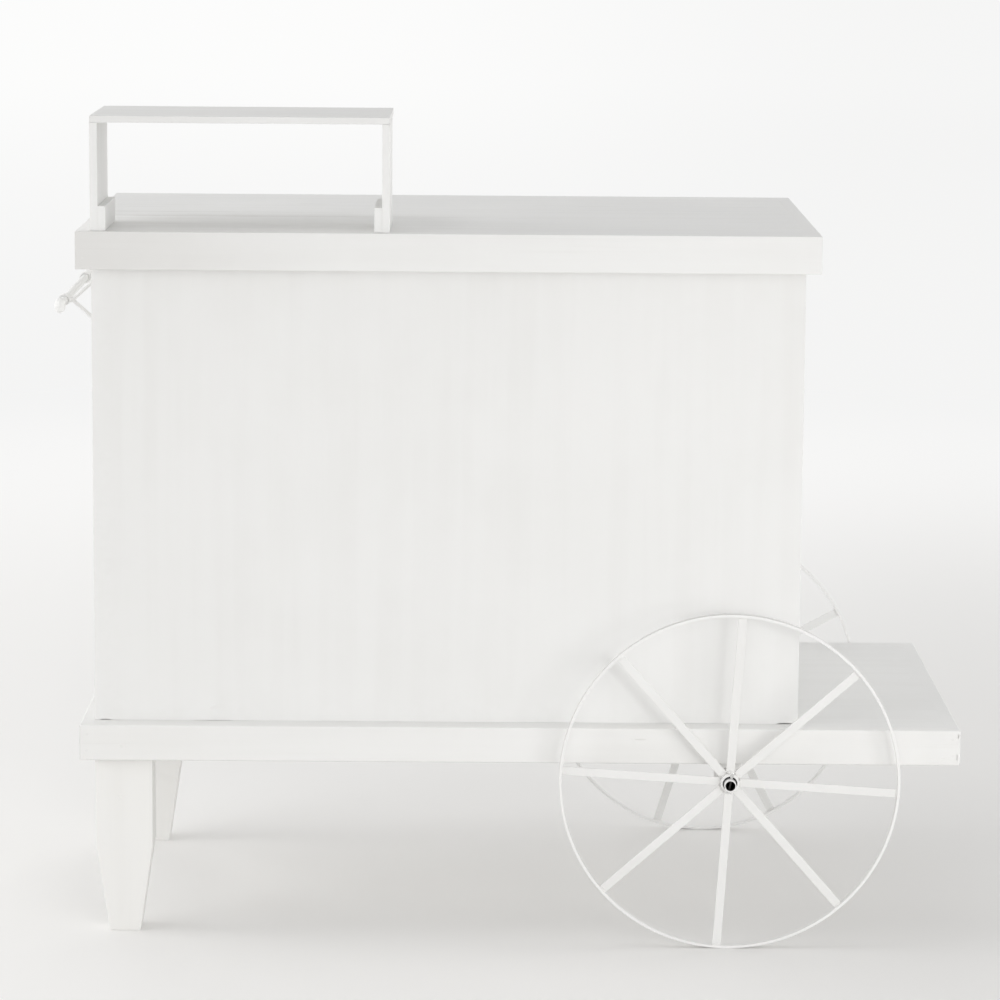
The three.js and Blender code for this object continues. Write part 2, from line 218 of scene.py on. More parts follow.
def smooth(obj):
    """Shades rounded edges smoothly and keeps flat faces flat."""
    hold(obj)
    bpy.ops.object.shade_smooth_by_angle(angle=SHARP)
    return modified(obj, "WEIGHTED_NORMAL", keep_sharp=True, weight=70)


def united(main, *others):
    """Welds closed shapes into one."""
    for other in others:
        modified(main, "BOOLEAN", operation="UNION", solver="EXACT", object=other)
        hold(other)
        bpy.ops.object.delete()
    return main


def together(name, shapes):
    """Joins small shapes into one object."""
    hold(*shapes)
    bpy.ops.object.join()
    whole = active()
    whole.name = name
    return whole


def twin(obj, name):
    """A copy with a mesh of its own."""
    copy = obj.copy()
    copy.data = obj.data.copy()
    copy.name = name
    bpy.context.collection.objects.link(copy)
    return copy


def solid_copy(node, name):
    """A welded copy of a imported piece, without its triangles' flat edges."""
    copy = twin(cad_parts[node], name)
    copy.parent = None
    copy.matrix_world = Matrix.Identity(4)
    in_edit(copy)
    bpy.ops.mesh.select_all(action="SELECT")
    bpy.ops.mesh.remove_doubles(threshold=same_point)
    bpy.ops.mesh.dissolve_limited(angle_limit=math.radians(1))
    out_of_edit()
    return copy


def done(obj, name, material, body, slot, *nodes):
    """Names a finished piece, paints it and ties it to its body."""
    smooth(obj)
    obj.name = name
    obj.data.name = name
    obj.data.materials.clear()
    obj.data.materials.append(material)
    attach(obj, body)
    if nodes:
        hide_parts(*nodes)
    return obj


def ring(profile, centre, steps):
    """A closed profile of (radius, place along Y) spun about the Y axis through centre."""
    deselect()
    bpy.ops.mesh.primitive_circle_add(vertices=len(profile), radius=mm, location=(0, 0, 0))
    loop = active()
    for vertex, (radius, place) in zip(loop.data.vertices, profile):
        vertex.co = Vector(centre) + Vector((radius, place, 0))
    in_edit(loop)
    bpy.ops.mesh.select_all(action="SELECT")
    bpy.ops.mesh.spin(steps=steps, angle=2 * math.pi, center=centre, axis=(0, 1, 0))
    bpy.ops.mesh.select_all(action="SELECT")
    bpy.ops.mesh.remove_doubles(threshold=same_point)
    bpy.ops.mesh.normals_make_consistent(inside=False)
    out_of_edit()
    return loop


def eased_loop(inner, outer, start, end, ease):
    """A rectangle of (radius, place) with its corners taken off."""
    return [
        (inner + ease, start), (outer - ease, start), (outer - 0.3 * ease, start + 0.3 * ease),
        (outer, start + ease), (outer, end - ease), (outer - 0.3 * ease, end - 0.3 * ease),
        (outer - ease, end), (inner + ease, end), (inner + 0.3 * ease, end - 0.3 * ease),
        (inner, end - ease), (inner, start + ease), (inner + 0.3 * ease, start + 0.3 * ease),
    ]


# Paint and metal

def node_of(tree, kind, place=(0, 0), **settings):
    node = tree.nodes.new(kind)
    node.location = place
    for key, value in settings.items():
        setattr(node, key, value)
    return node


def effect(name, inputs, outputs):
    """An empty node group with named sockets."""
    tree = bpy.data.node_groups.new(name, "ShaderNodeTree")
    for label, kind, value in inputs:
        socket = tree.interface.new_socket(name=label, in_out="INPUT", socket_type=kind)
        if value is not None:
            socket.default_value = value
    for label, kind in outputs:
        tree.interface.new_socket(name=label, in_out="OUTPUT", socket_type=kind)
    entry = node_of(tree, "NodeGroupInput", (-900, 0))
    leave = node_of(tree, "NodeGroupOutput", (700, 0))
    return tree, entry, leave


def noise(tree, vector, scale, detail=3, roughness=0.55):
    node = node_of(tree, "ShaderNodeTexNoise")
    node.inputs["Scale"].default_value = scale
    node.inputs["Detail"].default_value = detail
    node.inputs["Roughness"].default_value = roughness
    tree.links.new(vector, node.inputs["Vector"])
    return node.outputs["Fac"]


def stretched(tree, vector, scale):
    node = node_of(tree, "ShaderNodeVectorMath", operation="MULTIPLY")
    node.inputs[1].default_value = scale
    tree.links.new(vector, node.inputs[0])
    return node.outputs["Vector"]


def ranged(tree, value, low, high, to_low=0.0, to_high=1.0):
    node = node_of(tree, "ShaderNodeMapRange", interpolation_type="SMOOTHSTEP")
    for label, number in (("From Min", low), ("From Max", high), ("To Min", to_low), ("To Max", to_high)):
        node.inputs[label].default_value = number
    tree.links.new(value, node.inputs["Value"])
    return node.outputs["Result"]


def sums(tree, operation, first, second):
    node = node_of(tree, "ShaderNodeMath", operation=operation)
    for socket, value in ((node.inputs[0], first), (node.inputs[1], second)):
        if isinstance(value, (int, float)):
            socket.default_value = value
        else:
            tree.links.new(value, socket)
    return node.outputs["Value"]


# Strokes of a brush along the group's X: fine ridges, and broad soft bands of thick and thin paint
brush, entry, leave = effect(
    "brush strokes", [("Vector", "NodeSocketVector", None)],
    [("Ridges", "NodeSocketFloat"), ("Bands", "NodeSocketFloat")])
brush.links.new(noise(brush, stretched(brush, entry.outputs["Vector"], (6, 420, 420)), 1, 4, 0.6),
                leave.inputs["Ridges"])
brush.links.new(noise(brush, stretched(brush, entry.outputs["Vector"], (1.6, 38, 38)), 1, 3, 0.5),
                leave.inputs["Bands"])

# Slow changes of tone over a painted face, and the fine grain of the paint itself
film, entry, leave = effect(
    "paint film", [("Vector", "NodeSocketVector", None)],
    [("Mottle", "NodeSocketFloat"), ("Grain", "NodeSocketFloat")])
film.links.new(noise(film, entry.outputs["Vector"], 5, 3, 0.5), leave.inputs["Mottle"])
film.links.new(noise(film, entry.outputs["Vector"], 900, 2, 0.5), leave.inputs["Grain"])

# Dark lines of the wood's grain that show through thin paint, in patches
telegraph, entry, leave = effect(
    "grain under paint",
    [("Vector", "NodeSocketVector", None), ("Least", "NodeSocketFloat", 0.5),
     ("Most", "NodeSocketFloat", 0.7)],
    [("Lines", "NodeSocketFloat")])
lines = noise(telegraph, stretched(telegraph, entry.outputs["Vector"], (2.2, 190, 190)), 1, 5, 0.65)
patch = noise(telegraph, stretched(telegraph, entry.outputs["Vector"], (3.1, 14, 14)), 1, 2, 0.5)
spread = node_of(telegraph, "ShaderNodeMapRange", interpolation_type="SMOOTHSTEP")
telegraph.links.new(lines, spread.inputs["Value"])
telegraph.links.new(entry.outputs["Least"], spread.inputs["From Min"])
telegraph.links.new(entry.outputs["Most"], spread.inputs["From Max"])
telegraph.links.new(
    sums(telegraph, "MULTIPLY", spread.outputs["Result"], ranged(telegraph, patch, 0.38, 0.62)),
    leave.inputs["Lines"])

# One dark streak of the wood that the paint hasn't covered: along X at a given Y, from strong to nothing
streak, entry, leave = effect(
    "thin paint streak",
    [("Vector", "NodeSocketVector", None), ("Line", "NodeSocketFloat", 0.0),
     ("Width", "NodeSocketFloat", 4 * mm), ("From", "NodeSocketFloat", 0.0),
     ("To", "NodeSocketFloat", 0.1)],
    [("Streak", "NodeSocketFloat")])
streak_wander = 6 * mm
split = node_of(streak, "ShaderNodeSeparateXYZ")
streak.links.new(entry.outputs["Vector"], split.inputs["Vector"])
wander = noise(streak, stretched(streak, entry.outputs["Vector"], (9, 0, 0)), 1, 2, 0.5)
ragged = noise(streak, stretched(streak, entry.outputs["Vector"], (14, 300, 0)), 1, 4, 0.65)
aside = sums(streak, "SUBTRACT", split.outputs["Y"], entry.outputs["Line"])
aside = sums(streak, "ADD", aside,
             sums(streak, "MULTIPLY", sums(streak, "SUBTRACT", wander, 0.5), streak_wander))
near = sums(streak, "DIVIDE", sums(streak, "ABSOLUTE", aside, 0.0), entry.outputs["Width"])
reach_share = sums(streak, "DIVIDE", sums(streak, "SUBTRACT", split.outputs["X"], entry.outputs["From"]),
                   sums(streak, "SUBTRACT", entry.outputs["To"], entry.outputs["From"]))
fade = sums(streak, "MULTIPLY", ranged(streak, reach_share, -0.02, 0.04),
            ranged(streak, reach_share, 0.25, 1.0, 1.0, 0.0))
band = sums(streak, "MULTIPLY", ranged(streak, near, 0.3, 1.0, 1.0, 0.0),
            ranged(streak, ragged, 0.4, 0.6, 0.25, 1.0))
streak.links.new(sums(streak, "MULTIPLY", band, fade), leave.inputs["Streak"])

# What lies within a radius of a middle line along Y, such as a bore
core, entry, leave = effect(
    "within a radius",
    [("Vector", "NodeSocketVector", None), ("Middle", "NodeSocketVector", None),
     ("Radius", "NodeSocketFloat", 10 * mm)],
    [("Within", "NodeSocketFloat")])
from_middle = node_of(core, "ShaderNodeVectorMath", operation="DISTANCE")
core.links.new(stretched(core, entry.outputs["Vector"], (1, 0, 1)), from_middle.inputs[0])
core.links.new(entry.outputs["Middle"], from_middle.inputs[1])
past = sums(core, "SUBTRACT", from_middle.outputs["Value"], entry.outputs["Radius"])
core.links.new(ranged(core, past, 0.1 * mm, 0.4 * mm, 1, 0), leave.inputs["Within"])

# Painted highlight on convex edges, broken up in patches, and painted shade in concave creases,
# from how the surface turns
edge_highlight_and_crease_shade, entry, leave = effect(
    "painted edge highlight and crease shade", [("Vector", "NodeSocketVector", None)],
    [("Edge", "NodeSocketFloat"), ("Corner", "NodeSocketFloat")])
bend = node_of(edge_highlight_and_crease_shade, "ShaderNodeNewGeometry")
break_up = noise(edge_highlight_and_crease_shade, entry.outputs["Vector"], 60, 3, 0.6)
edge = ranged(edge_highlight_and_crease_shade, bend.outputs["Pointiness"], 0.515, 0.57)
edge_highlight_and_crease_shade.links.new(sums(edge_highlight_and_crease_shade, "MULTIPLY", edge, ranged(edge_highlight_and_crease_shade, break_up, 0.35, 0.65)), leave.inputs["Edge"])
edge_highlight_and_crease_shade.links.new(ranged(edge_highlight_and_crease_shade, bend.outputs["Pointiness"], 0.49, 0.44), leave.inputs["Corner"])


def mixed(tree, share, first, second):
    """A colour between two, by a share from 0 to 1."""
    node = node_of(tree, "ShaderNodeMix", data_type="RGBA")
    tree.links.new(share, node.inputs["Factor"])
    for socket, value in ((node.inputs["A"], first), (node.inputs["B"], second)):
        if isinstance(value, tuple):
            socket.default_value = (*value, 1)
        else:
            tree.links.new(value, socket)
    return node.outputs["Result"]


def placed_group(tree, group, vector):
    node = node_of(tree, "ShaderNodeGroup", node_tree=group)
    tree.links.new(vector, node.inputs["Vector"])
    return node


def new_material(name):
    material = bpy.data.materials.new(name)
    material.use_nodes = True
    return material, material.node_tree, material.node_tree.nodes["Principled BSDF"]


def coordinates(tree, along, shift=(0, 0, 0)):
    """Object coordinates turned so that their X runs along the given axis."""
    source = node_of(tree, "ShaderNodeTexCoord", (-1300, 0))
    turn = node_of(tree, "ShaderNodeMapping", (-1100, 0))
    turn.inputs["Location"].default_value = shift
    turn.inputs["Rotation"].default_value = {
        X: (0, 0, 0), Y: (0, 0, math.radians(90)), Z: (0, math.radians(90), 0)}[along]
    tree.links.new(source.outputs["Object"], turn.inputs["Vector"])
    return turn.outputs["Vector"]


white = (0.83, 0.828, 0.815)
white_thin = (0.795, 0.79, 0.775)
# Lighter tone at random, and the painted highlight on edges
bright_white_and_highlight = (0.86, 0.858, 0.85)
# The wood's grain and streaks, and also the painted shade in creases and along X
grain_and_shade_grey = (0.60, 0.585, 0.56)
# Dark steel inside a bore, deepened to near-black as painted shade
bore_dark_and_shade = (0.012, 0.011, 0.01)
paint_roughness, paint_shine = 0.74, 0.12
paint_bump, paint_relief = 0.35, 0.12 * mm
steel_relief = 0.1 * mm


def painted(name, along, lines_share=0.12, lines_least=0.55, lines_most=0.74, tone=white, shift=(0, 0, 0),
            ridge=0.5, streaks=(), shade_along_x=None):
    """White paint brushed on along an axis, with some grain showing, a painted highlight on its edges and
    painted shade in its creases. It can be darkened from one place along X to another as painted shade."""
    material, tree, shader = new_material(name)
    vector = coordinates(tree, along, shift)
    strokes = placed_group(tree, brush, vector)
    coat = placed_group(tree, film, vector)
    grain = placed_group(tree, telegraph, vector)
    grain.inputs["Least"].default_value = lines_least
    grain.inputs["Most"].default_value = lines_most
    edges = placed_group(tree, edge_highlight_and_crease_shade, vector)
    thin = tuple(channel * white_thin[i] / white[i] for i, channel in enumerate(tone))
    colour = mixed(tree, ranged(tree, strokes.outputs["Bands"], 0.35, 0.7, 0, 0.45), tone, thin)
    colour = mixed(tree, ranged(tree, coat.outputs["Mottle"], 0.4, 0.65, 0, 0.35), colour, bright_white_and_highlight)
    colour = mixed(tree, sums(tree, "MULTIPLY", grain.outputs["Lines"], lines_share), colour, grain_and_shade_grey)
    for line, width, start, end, strength in streaks:
        stain = placed_group(tree, streak, coordinates(tree, along))
        for label, number in (("Line", line), ("Width", width), ("From", start), ("To", end)):
            stain.inputs[label].default_value = number
        colour = mixed(tree, sums(tree, "MULTIPLY", stain.outputs["Streak"], strength), colour, grain_and_shade_grey)
    # Painted shade along X, strongest at one place and gone at another
    if shade_along_x:
        places = node_of(tree, "ShaderNodeSeparateXYZ")
        tree.links.new(coordinates(tree, X), places.inputs["Vector"])
        start, end, strength = shade_along_x
        colour = mixed(tree, ranged(tree, places.outputs["X"], start, end, strength, 0), colour, grain_and_shade_grey)
    # Painted highlight on the edges and painted shade in the creases
    colour = mixed(tree, sums(tree, "MULTIPLY", edges.outputs["Edge"], 0.25), colour, bright_white_and_highlight)
    colour = mixed(tree, sums(tree, "MULTIPLY", edges.outputs["Corner"], 0.3), colour, grain_and_shade_grey)
    tree.links.new(colour, shader.inputs["Base Color"])
    tree.links.new(
        ranged(tree, coat.outputs["Mottle"], 0.3, 0.7, paint_roughness - 0.05, paint_roughness + 0.06),
        shader.inputs["Roughness"])
    height = sums(tree, "ADD", sums(tree, "MULTIPLY", strokes.outputs["Ridges"], ridge),
                  sums(tree, "MULTIPLY", coat.outputs["Grain"], 0.12))
    height = sums(tree, "SUBTRACT", height, sums(tree, "MULTIPLY", grain.outputs["Lines"], 0.35))
    bump = node_of(tree, "ShaderNodeBump")
    bump.inputs["Strength"].default_value = paint_bump
    bump.inputs["Distance"].default_value = paint_relief
    tree.links.new(height, bump.inputs["Height"])
    tree.links.new(bump.outputs["Normal"], shader.inputs["Normal"])
    shader.inputs["Specular IOR Level"].default_value = paint_shine
    return material


def steel(name, colour, worn_and_shade, roughness, metallic, ridge, within=None, within_tone=bore_dark_and_shade):
    """Painted or plated steel: smooth, a little uneven, patchy with wear, with painted shade in its
    creases.
    What lies within a radius of a middle line along Y can have its own tone; a bore's is near-black, dark
    steel deepened into painted shade."""
    material, tree, shader = new_material(name)
    vector = coordinates(tree, X)
    coat = placed_group(tree, film, vector)
    edges = placed_group(tree, edge_highlight_and_crease_shade, vector)
    tone = mixed(tree, ranged(tree, coat.outputs["Mottle"], 0.35, 0.65, 0, 0.4), colour, worn_and_shade)
    # Painted shade: concave creases darkened towards the colour of wear
    tone = mixed(tree, sums(tree, "MULTIPLY", edges.outputs["Corner"], 0.5), tone, worn_and_shade)
    if within:
        middle, radius = within
        zone = placed_group(tree, core, vector)
        zone.inputs["Middle"].default_value = (middle.x, 0, middle.z)
        zone.inputs["Radius"].default_value = radius
        tone = mixed(tree, zone.outputs["Within"], tone, within_tone)
    tree.links.new(tone, shader.inputs["Base Color"])
    tree.links.new(ranged(tree, coat.outputs["Mottle"], 0.3, 0.7, roughness - 0.06, roughness + 0.06),
                   shader.inputs["Roughness"])
    shader.inputs["Metallic"].default_value = metallic
    bump = node_of(tree, "ShaderNodeBump")
    bump.inputs["Strength"].default_value = ridge
    bump.inputs["Distance"].default_value = steel_relief
    tree.links.new(coat.outputs["Grain"], bump.inputs["Height"])
    tree.links.new(bump.outputs["Normal"], shader.inputs["Normal"])
    return material


paint_along = {
    X: painted("white paint, brushed along the cart", X),
    Y: painted("white paint, brushed across the cart", Y),
    Z: painted("white paint, brushed upright", Z),
}
# Painted light and shade: the platform's front rail and the legs are a lighter white, and the riser a
# darker white, than the other boards
rail_paint = painted("white paint on the platform's front", X, tone=(0.848, 0.844, 0.828))
# The counter's front is darker towards its left end, as painted shade
apron_paint = painted("white paint on the counter's front", X, shade_along_x=(-0.62, -0.2, 0.36))
riser_paint = painted("white paint on the riser", X, tone=(0.8, 0.798, 0.785), lines_share=0.2,
                      lines_least=0.5)
leg_paint = painted("white paint on the legs", Z, tone=(0.88, 0.873, 0.852))
panel_paint = painted("white paint on panel board", Z, lines_share=0.03, ridge=0.25)
deck_paint = painted("white paint on the decks", X, lines_share=0.1, lines_least=0.58)

# The share of grain lines and the streaks of each counter plank, from the front. A streak is its Y, its
# width, where along X it starts and ends, and its strength.
plank_marks = (
    (0.25, ((-0.196, 0.006, -0.61, -0.30, 0.25), (-0.235, 0.004, -0.58, -0.44, 0.2))),
    (0.25, ((-0.069, 0.009, -0.615, 0.14, 0.5), (-0.112, 0.006, -0.61, -0.40, 0.35),
            (-0.090, 0.004, -0.24, 0.02, 0.3))),
    (0.2, ((-0.056, 0.006, -0.615, 0.05, 0.4), (0.003, 0.008, -0.615, -0.12, 0.45),
           (0.030, 0.004, 0.05, 0.24, 0.2))),
    (0.12, ((0.155, 0.005, -0.33, -0.25, 0.35), (0.140, 0.005, 0.11, 0.20, 0.35),
            (0.085, 0.004, -0.60, -0.48, 0.25))),
    (0.12, ((0.300, 0.006, -0.53, -0.45, 0.35), (0.225, 0.004, 0.20, 0.42, 0.2))),
)
plank_paint = [
    painted(f"white paint on counter plank {i + 1}", X, lines_share=share, lines_least=0.5, lines_most=0.7,
            shift=(0.37 * i, 0.21 * i, 0.13 * i), streaks=streaks)
    for i, (share, streaks) in enumerate(plank_marks)
]
filler = painted("filled nail holes", X, lines_share=0.0, tone=(0.815, 0.81, 0.795))

# Fresh colour, colour of wear that is also the painted shade in creases, roughness, metal and ridges of
# the enamels. The tread's colours are darker, as painted shade.
enamel_look = ((0.86, 0.858, 0.85), (0.8, 0.79, 0.77), 0.42, 0.0, 0.12)
shaded_tread_look = ((0.765, 0.76, 0.745), (0.67, 0.66, 0.64), 0.75, 0.0, 0.3)
rim_front_tone = (0.855, 0.85, 0.838)
enamel = steel("white enamel", *enamel_look)
weld_enamel = steel("white enamel over weld", (0.8, 0.795, 0.78), (0.7, 0.69, 0.67), 0.5, 0.0, 0.3)
handle_enamel = steel("enamel on the handle", (0.87, 0.868, 0.858), (0.83, 0.825, 0.81), 0.82, 0.0, 0.05)
spoke_enamel = steel("white enamel on the spokes", (0.822, 0.82, 0.808), (0.77, 0.76, 0.74), 0.5, 0.0,
                     0.12)


# Boards

def long_axis(low, high):
    size = high - low
    return max(range(3), key=lambda i: size[i])


def box_of(node):
    low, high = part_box(node)
    return Vector(low), Vector(high)


def nicked(piece, *nicks):
    """Takes small hollows out of a piece, each given as in the table of knocks."""
    for centre, half_sizes in nicks:
        deselect()
        bpy.ops.mesh.primitive_uv_sphere_add(segments=32, ring_count=20, radius=1, location=centre)
        tool = active()
        tool.scale = [size * mm for size in half_sizes]
        settle(tool)
        modified(piece, "BOOLEAN", operation="DIFFERENCE", solver="EXACT", object=tool)
        hold(tool)
        bpy.ops.object.delete()
    return piece


def board(node, material=None, ease=board_ease, nicks=(), grow=(0, 0, 0)):
    """A straight board in the place of a packed one. grow closes the hairline at its joints."""
    low, high = box_of(node)
    piece = add_block(low - Vector(grow), high + Vector(grow))
    cuts(piece)
    eased(piece, ease)
    uneven(piece)
    nicked(piece, *nicks)
    return done(piece, f"{node}_board", material or paint_along[long_axis(low, high)],
                "cart", "painted_wood", node)


def mitred_board(node, inward, ease, nicks=(), material=None):
    """A board whose ends are cut at 45 degrees, long on the side away from inward, well eased outside."""
    low, high = box_of(node)
    along = X if abs(inward[Y]) else Y
    across = Y if along == X else X
    thickness = high[across] - low[across]
    inner, outer = (high, low) if inward[across] > 0 else (low, high)
    inner, outer = inner[across], outer[across]
    inner += inward[across] * mitre_lap
    if inward[across] > 0:
        high[across] = inner
    else:
        low[across] = inner
    piece = add_block(low, high)
    in_edit(piece)
    for end, way in ((low[along], 1), (high[along], -1)):
        pick(piece, lambda co: abs(co[along] - end) < mm and abs(co[across] - inner) < mm)
        bpy.ops.transform.translate(value=AXES[along] * (way * thickness))
    out_of_edit()
    cuts(piece, along=along, margin=thickness)
    in_edit(piece, "EDGE")

    def at_an_end(a, b, axis):
        return abs(a[axis] - b[axis]) < same_level and min(
            abs(a[axis] - low[axis]), abs(a[axis] - high[axis])) < same_level

    def round_outer_face(a, b):
        in_face = max(abs(a[across] - outer), abs(b[across] - outer)) <= mm
        return in_face and (at_an_end(a, b, Z) or at_an_end(a, b, along))

    pick_edges(piece, round_outer_face)
    bpy.ops.mesh.bevel(offset=ease, offset_type="OFFSET", segments=5, affect="EDGES", clamp_overlap=True)
    out_of_edit()
    eased(piece, closed_ease, segments=2)
    uneven(piece, unevenness / 2)
    nicked(piece, *nicks)
    return done(piece, f"{node}_board", material or paint_along[along], "cart", "painted_wood", node)


def tapered_leg(node, nicks=()):
    """A straight post whose lower end tapers on all four sides to a square foot."""
    low, high = box_of(node)
    centre = (low + high) / 2
    piece = add_block(low, high)
    in_edit(piece)
    bpy.ops.mesh.select_all(action="SELECT")
    bpy.ops.mesh.bisect(plane_co=(centre.x, centre.y, taper_height), plane_no=(0, 0, 1))
    pick(piece, lambda co: co.z < mm)
    bpy.ops.transform.resize(
        value=(foot_width / (high.x - low.x), foot_width / (high.y - low.y), 1),
        center_override=(centre.x, centre.y, 0))
    out_of_edit()
    cuts(piece, spacing=leg_cut_spacing)
    eased(piece, board_ease)
    uneven(piece)
    nicked(piece, *nicks)
    return done(piece, f"{node}_post", leg_paint, "cart", "painted_wood", node)


# Knocks, splits and open joints that the paint hasn't filled: each one's middle, on the cart, and its half
# sizes in millimetres
front_face = box_of("platform_front_rail")[0].y
leg_face = box_of("front_leg")[0].y
panel_low = box_of("cabinet_front_panel")[0]
knocks = {
    "platform_front_rail": (
        ((0.2005, front_face, 0.3105), (9, 1.6, 0.8)),
        ((-0.5735, front_face, 0.2950), (2.0, 0.7, 1.8)),
        ((0.6535, front_face, 0.2835), (3.6, 0.6, 1.0)),
        ((0.6767, front_face + 1.2 * mm, 0.3182), (1.1, 2.0, 4.4)),
        ((0.6755, front_face + 1.2 * mm, 0.2860), (0.9, 1.6, 8.0)),
    ),
    "front_leg": (((-0.5790, leg_face, 0.2100), (2.2, 0.6, 3.6)),),
    "cabinet_front_panel": (
        ((-0.4345, panel_low.y - 0.9 * mm, 0.3420), (12, 1.8, 10)),
        ((-0.6000, panel_low.y, panel_low.z), (9, 7, 0.9)),
        ((-0.4385, panel_low.y, panel_low.z), (30, 2.5, 0.35)),
        ((0.4200, panel_low.y, panel_low.z), (13, 9, 1.5)),
    ),
}

front_paints = {"platform_front_rail": rail_paint, "counter_front_apron": apron_paint}
inward_from = {"front": (0, 1, 0), "back": (0, -1, 0), "left": (1, 0, 0), "right": (-1, 0, 0)}
for frame_name, kind, ease in (("platform", "rail", rail_ease), ("counter", "apron", apron_ease)):
    for side, inward in inward_from.items():
        node = f"{frame_name}_{side}_{kind}"
        mitred_board(node, inward, ease, knocks.get(node, ()), front_paints.get(node))

for node in ("cabinet_deck", "display_deck"):
    board(node, deck_paint, closed_ease, grow=deck_lap)
for node in ("leg_beam", "axle_beam", "deck_beam", "cabinet_left_stile", "cabinet_right_stile",
             "cabinet_top_rail", "cabinet_shelf"):
    board(node)
board("cabinet_front_panel", panel_paint, ease=joint_ease, nicks=knocks["cabinet_front_panel"],
      grow=panel_lap)
for i, paint in enumerate(plank_paint):
    board(f"counter_plank_{i + 1}", paint, ease=joint_ease, grow=plank_lap)
board("riser_shelf", riser_paint, ease=thin_ease)
for node in ("riser_left_post", "riser_right_post", "riser_left_cleat", "riser_right_cleat"):
    board(node, paint_along[Z], ease=joint_ease, grow=riser_lap)
for node in ("front_leg", "back_leg"):
    tapered_leg(node, knocks.get(node, ()))
for node in ("cabinet_left_panel", "cabinet_right_panel"):
    side_panel = eased(solid_copy(node, node), joint_ease)
    done(side_panel, f"{node}_board", panel_paint, "cart", "painted_wood", node)


# Filled nail holes: thin proud discs of filler under the paint

def nail_marks(name, places, material=filler, radius=nail_radius):
    """Each place is a point on a face and the face's axis, pointing out."""
    marks = []
    for point, out in places:
        mark = add_round(Vector(point) + Vector(out) * (nail_proud - nail_sunk) / 2, out, radius,
                         nail_proud + nail_sunk, 20)
        marks.append(eased(mark, nail_ease, 2))
    return done(together(name, marks), name, material, "cart", "painted_wood")


def frame_nails(frame_name, kind, rows):
    """Nails at both ends of the front and back boards. A row is a share of the height and a setback."""
    places = []
    for side, out in (("front", -1), ("back", 1)):
        low, high = box_of(f"{frame_name}_{side}_{kind}")
        face = low.y if out < 0 else high.y
        height = high.z - low.z
        for end, way in ((low.x, 1), (high.x, -1)):
            for share, setback in rows:
                places.append(((end + way * setback, face, low.z + share * height), (0, out, 0)))
    return places


nail_marks("platform_nail_marks", frame_nails("platform", "rail", ((0.28, 0.011), (0.74, 0.012))))
nail_marks("counter_nail_marks", frame_nails("counter", "apron", ((0.3, 0.011), (0.72, 0.01))),
           apron_paint)

plank_nails = []
for i in range(5):
    low, high = box_of(f"counter_plank_{i + 1}")
    for end, way in ((low.x, 1), (high.x, -1)):
        for share in (0.25, 0.76):
            place = (end + way * nail_setback, low.y + share * (high.y - low.y), high.z)
            plank_nails.append((place, (0, 0, 1)))
nail_marks("plank_nail_marks", plank_nails, radius=plank_nail_radius)

riser_nails = []
riser_top = box_of("riser_shelf")[1].z
for node in ("riser_left_post", "riser_right_post"):
    low, high = box_of(node)
    for share in (0.15, 0.5, 0.85):
        place = ((low.x + high.x) / 2, low.y + share * (high.y - low.y), riser_top)
        riser_nails.append((place, (0, 0, 1)))
nail_marks("riser_nail_marks", riser_nails, radius=riser_nail_radius)


# Push handle

low, high = box_of("handle_bar")
bar_centre = (low + high) / 2
bar_reach = (high.y - low.y) / 2
bar_radius = 6 * mm
knob_radius = (high.z - low.z) / 2
knob_sag = 1.5 * mm
knob_slimness = 0.86
bar = add_round(bar_centre, (0, 1, 0), bar_radius, 2 * (bar_reach - knob_radius), 32)
knobs = []
for way in (-1, 1):
    deselect()
    bpy.ops.mesh.primitive_uv_sphere_add(
        segments=40, ring_count=24, radius=1,
        location=bar_centre + Vector((0, way * (bar_reach - knob_radius), -knob_sag)))
    knob = active()
    knob.scale = (knob_slimness * knob_radius, knob_radius, knob_radius + knob_sag)
    knobs.append(settle(knob))
bar = united(bar, *knobs)
done(bar, "handle_bar_rod", handle_enamel, "cart", "painted_steel", "handle_bar")

eye_radius, eye_width, eye_play, eye_ease, eye_steps = 9 * mm, 14 * mm, 0.2 * mm, 0.8 * mm, 40
arm_radius, fork_reach, fork_radius = 4 * mm, 12 * mm, 3 * mm
plate_thickness, screw_aside, screw_rise = 4 * mm, 8 * mm, 13 * mm
screw_places = []
for side in ("front", "back"):
    node = f"handle_{side}_bracket"
    low, high = box_of(node)
    place = (low.y + high.y) / 2
    plate = eased(add_block((high.x - plate_thickness, low.y, low.z), high), steel_ease)
    eye_loop = eased_loop(bar_radius + eye_play, eye_radius, -eye_width / 2, eye_width / 2, eye_ease)
    eye = ring(eye_loop, (bar_centre.x, place, bar_centre.z), eye_steps)
    arm_end = bar_centre.x + fork_reach + fork_radius
    arm_start = bar_centre.x + (bar_radius + eye_radius) / 2
    arm = add_round(((arm_start + arm_end) / 2, place, bar_centre.z), (1, 0, 0), arm_radius,
                    arm_end - arm_start, 20)
    prongs = []
    for way in (-1, 1):
        start = Vector((bar_centre.x + fork_reach, place, bar_centre.z))
        end = Vector((high.x - plate_thickness / 2, place,
                      bar_centre.z + way * ((high.z - low.z) / 2 - 2 * fork_radius)))
        prongs.append(add_round((start + end) / 2, end - start, fork_radius, (end - start).length, 20))
    bracket = united(plate, eye, arm, *prongs)
    done(bracket, f"{node}_casting", handle_enamel, "cart", "painted_steel", node)
    for aside in (-screw_aside, screw_aside):
        for height in (-screw_rise, screw_rise):
            screw_places.append((high.x - plate_thickness, place + aside, bar_centre.z + height))


